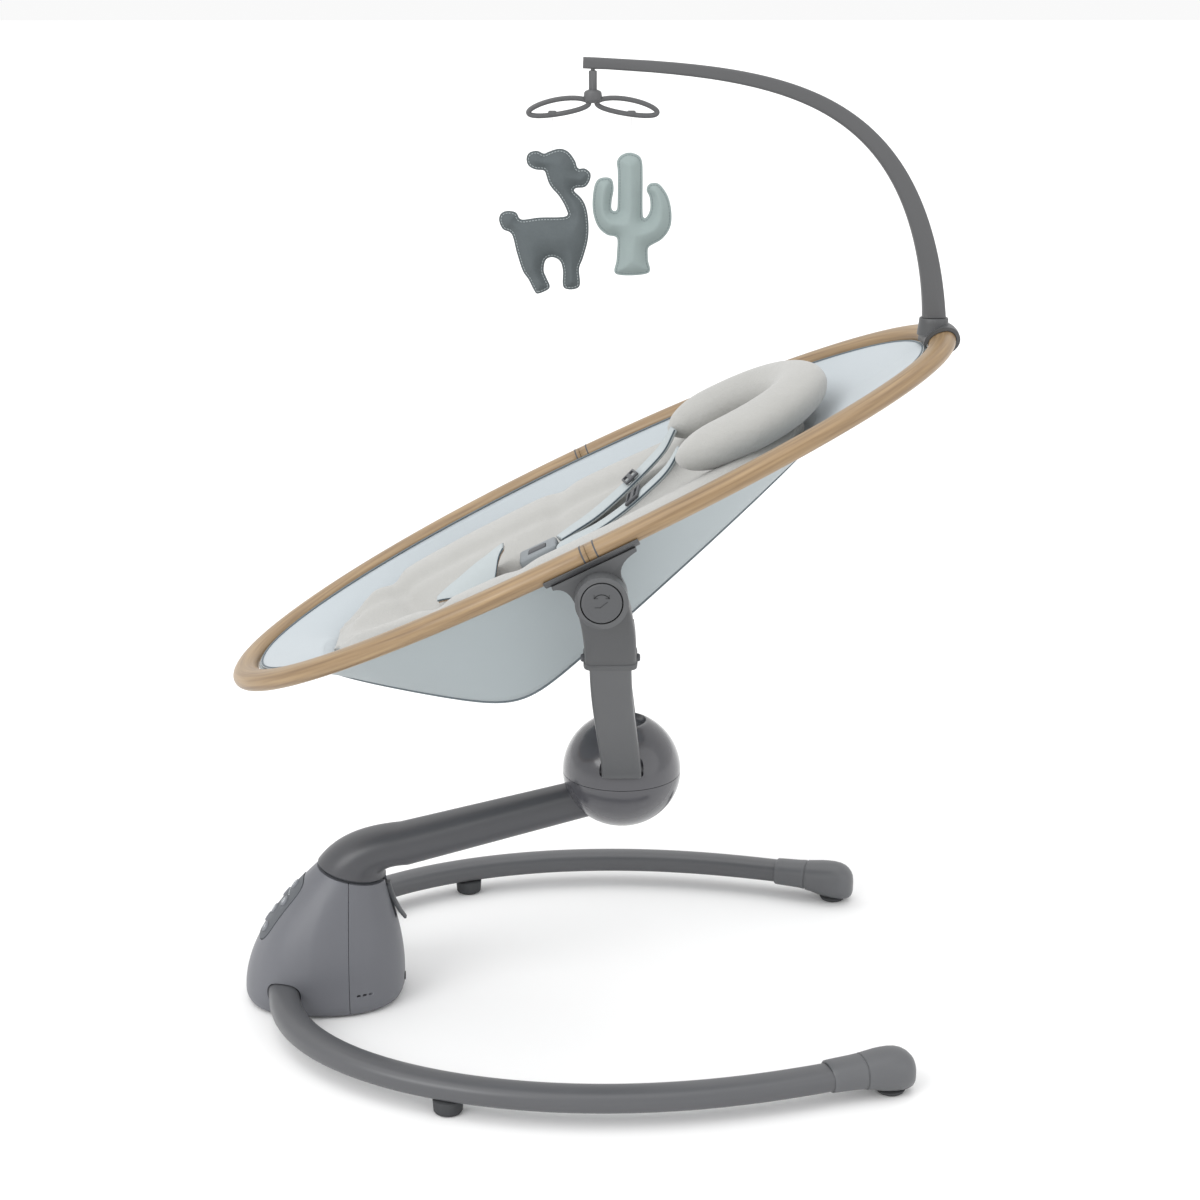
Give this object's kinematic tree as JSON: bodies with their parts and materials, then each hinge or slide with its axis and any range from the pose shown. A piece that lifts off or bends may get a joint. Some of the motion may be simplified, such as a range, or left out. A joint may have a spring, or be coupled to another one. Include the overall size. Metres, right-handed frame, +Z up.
{
  "type": "infant swing",
  "caption": "Padded infant seat in an oval wood-look rail, carried by two posts on a motor-driven arm that swings on a legged base, with a bar of hanging toys.",
  "frame": {"origin": "middle of the footprint, on the floor", "axes": "+Z up; +Y towards the seat's head end; +X towards the seated child's left"},
  "size_m": [0.6368, 0.7843, 1.043],
  "materials": {
    "grey_plastic": "satin moulded",
    "dark_plastic": "fine texture",
    "mid_plastic": "satin moulded",
    "soft_rubber": "matt",
    "wood_look_rail": "printed wood grain under a satin coat",
    "steel": "bright",
    "copper_winding": "lacquered winding",
    "circuit_board": "solder mask",
    "outer_fabric": "smooth knit",
    "plush": "quilted jersey",
    "webbing": "woven",
    "charcoal_felt": "felt",
    "pale_cloth": "stuffed jersey",
    "white_thread": "twisted cord"
  },
  "bodies": {
    "base": {"base_plate": "dark_plastic", "hub_front_shell": "grey_plastic", "hub_rear_shell": "grey_plastic", "spindle_tower": "dark_plastic", "bearing_upper": "steel", "bearing_lower": "steel", "drive_coil": "copper_winding", "control_panel": "dark_plastic", "control_board": "circuit_board", "power_inlet": "soft_rubber", "leg_left": "grey_plastic", "leg_right": "grey_plastic", "foot_left": "mid_plastic", "foot_right": "mid_plastic", "leg_pad_left": "soft_rubber", "leg_pad_right": "soft_rubber", "foot_pad_left": "soft_rubber", "foot_pad_right": "soft_rubber"},
    "arm": {"swing_arm": "grey_plastic", "swing_spindle": "steel", "drive_magnet": "steel", "ball_lower_shell": "grey_plastic", "ball_upper_shell": "grey_plastic", "ball_yoke": "steel", "post_left": "mid_plastic", "post_right": "mid_plastic", "bracket_left": "grey_plastic", "bracket_right": "grey_plastic"},
    "seat": {"ring_foot_half": "wood_look_rail", "ring_head_half": "wood_look_rail", "saddle_left": "grey_plastic", "saddle_right": "grey_plastic", "seat_shell": "outer_fabric", "seat_insert": "plush", "head_hugger": "plush", "shoulder_strap_left": "webbing", "shoulder_strap_right": "webbing", "crotch_pad": "webbing", "harness_buckle": "dark_plastic", "toy_clamp": "grey_plastic"},
    "toy_bar_body": {"toy_bar": "grey_plastic"},
    "hanger_body": {"toy_hanger": "grey_plastic"},
    "llama": {"llama_toy": "charcoal_felt", "llama_string": "white_thread"},
    "cactus": {"cactus_toy": "pale_cloth", "cactus_string": "white_thread"},
    "lock_lever": {"swing_lock_lever": "dark_plastic"},
    "buckle_press": {"buckle_button": "soft_rubber"},
    "recline_press_left": {"recline_button_left": "mid_plastic"},
    "recline_press_right": {"recline_button_right": "mid_plastic"},
    "release_press_left_front": {"release_button_left_front": "dark_plastic"},
    "release_press_left_rear": {"release_button_left_rear": "dark_plastic"},
    "release_press_right_front": {"release_button_right_front": "dark_plastic"},
    "release_press_right_rear": {"release_button_right_rear": "dark_plastic"},
    "key_power": {"button_power": "mid_plastic"},
    "key_speed": {"button_speed": "mid_plastic"},
    "key_timer": {"button_timer": "mid_plastic"},
    "key_music": {"button_music": "mid_plastic"},
    "key_volume_down": {"button_volume_down": "mid_plastic"},
    "key_volume_up": {"button_volume_up": "mid_plastic"}
  },
  "joints": [
    {"name": "arm_swing", "type": "hinge", "parent": "base", "child": "arm", "pos_m": [0, -0.268, 0.151], "axis": [0, 0.225, 0.9744], "range_deg": [-12, 12]},
    {"name": "seat_recline", "type": "hinge", "parent": "arm", "child": "seat", "pos_m": [0, 0.01024, 0.53897], "axis": [1, 0, 0], "range_deg": [-12, 8]},
    {"name": "recline_button_left_slide", "type": "slide", "parent": "arm", "child": "recline_press_left", "axis": [-1, 0, 0], "range_m": [0, 0.004], "stiffness_N_per_m": 900, "springref_m": -0.003},
    {"name": "recline_button_right_slide", "type": "slide", "parent": "arm", "child": "recline_press_right", "axis": [1, 0, 0], "range_m": [0, 0.004], "stiffness_N_per_m": 900, "springref_m": -0.003},
    {"name": "release_button_left_front_slide", "type": "slide", "parent": "arm", "child": "release_press_left_front", "axis": [0, 1, 0], "range_m": [0, 0.002], "stiffness_N_per_m": 700, "springref_m": -0.002},
    {"name": "release_button_left_rear_slide", "type": "slide", "parent": "arm", "child": "release_press_left_rear", "axis": [0, -1, 0], "range_m": [0, 0.002], "stiffness_N_per_m": 700, "springref_m": -0.002},
    {"name": "release_button_right_front_slide", "type": "slide", "parent": "arm", "child": "release_press_right_front", "axis": [0, 1, 0], "range_m": [0, 0.002], "stiffness_N_per_m": 700, "springref_m": -0.002},
    {"name": "release_button_right_rear_slide", "type": "slide", "parent": "arm", "child": "release_press_right_rear", "axis": [0, -1, 0], "range_m": [0, 0.002], "stiffness_N_per_m": 700, "springref_m": -0.002},
    {"name": "toy_bar_swivel", "type": "hinge", "parent": "seat", "child": "toy_bar_body", "pos_m": [0, 0.36629, 0.77679], "axis": [0, 0, 1], "range_deg": [-90, 90]},
    {"name": "hanger_spin", "type": "hinge", "parent": "toy_bar_body", "child": "hanger_body", "pos_m": [0, 0.0065, 1.0025], "axis": [0, 0, 1], "continuous": true},
    {"name": "llama_sway", "type": "hinge", "parent": "hanger_body", "child": "llama", "pos_m": [0, -0.035, 0.9837], "axis": [0, 1, 0], "range_deg": [-35, 35]},
    {"name": "cactus_sway", "type": "hinge", "parent": "hanger_body", "child": "cactus", "pos_m": [0, 0.046, 0.9837], "axis": [0, 1, 0], "range_deg": [-35, 35]},
    {"name": "key_power_slide", "type": "slide", "parent": "base", "child": "key_power", "axis": [0, 0.7657, -0.6432], "range_m": [0, 0.0012], "stiffness_N_per_m": 600, "springref_m": -0.0015},
    {"name": "key_speed_slide", "type": "slide", "parent": "base", "child": "key_speed", "axis": [0.2095, 0.7419, -0.637], "range_m": [0, 0.0012], "stiffness_N_per_m": 600, "springref_m": -0.0015},
    {"name": "key_timer_slide", "type": "slide", "parent": "base", "child": "key_timer", "axis": [-0.2095, 0.7419, -0.637], "range_m": [0, 0.0012], "stiffness_N_per_m": 600, "springref_m": -0.0015},
    {"name": "key_music_slide", "type": "slide", "parent": "base", "child": "key_music", "axis": [0, 0.8379, -0.5459], "range_m": [0, 0.0012], "stiffness_N_per_m": 600, "springref_m": -0.0015},
    {"name": "key_volume_down_slide", "type": "slide", "parent": "base", "child": "key_volume_down", "axis": [0.2185, 0.8112, -0.5425], "range_m": [0, 0.0012], "stiffness_N_per_m": 600, "springref_m": -0.0015},
    {"name": "key_volume_up_slide", "type": "slide", "parent": "base", "child": "key_volume_up", "axis": [-0.2185, 0.8112, -0.5425], "range_m": [0, 0.0012], "stiffness_N_per_m": 600, "springref_m": -0.0015},
    {"name": "buckle_button_slide", "type": "slide", "parent": "seat", "child": "buckle_press", "axis": [0, 0.4344, -0.9007], "range_m": [0, 0.0025], "stiffness_N_per_m": 700, "springref_m": -0.002},
    {"name": "lock_lever_tilt", "type": "hinge", "parent": "base", "child": "lock_lever", "pos_m": [0, -0.22752, 0.13], "axis": [1, 0, 0], "range_deg": [0, 20]}
  ]
}
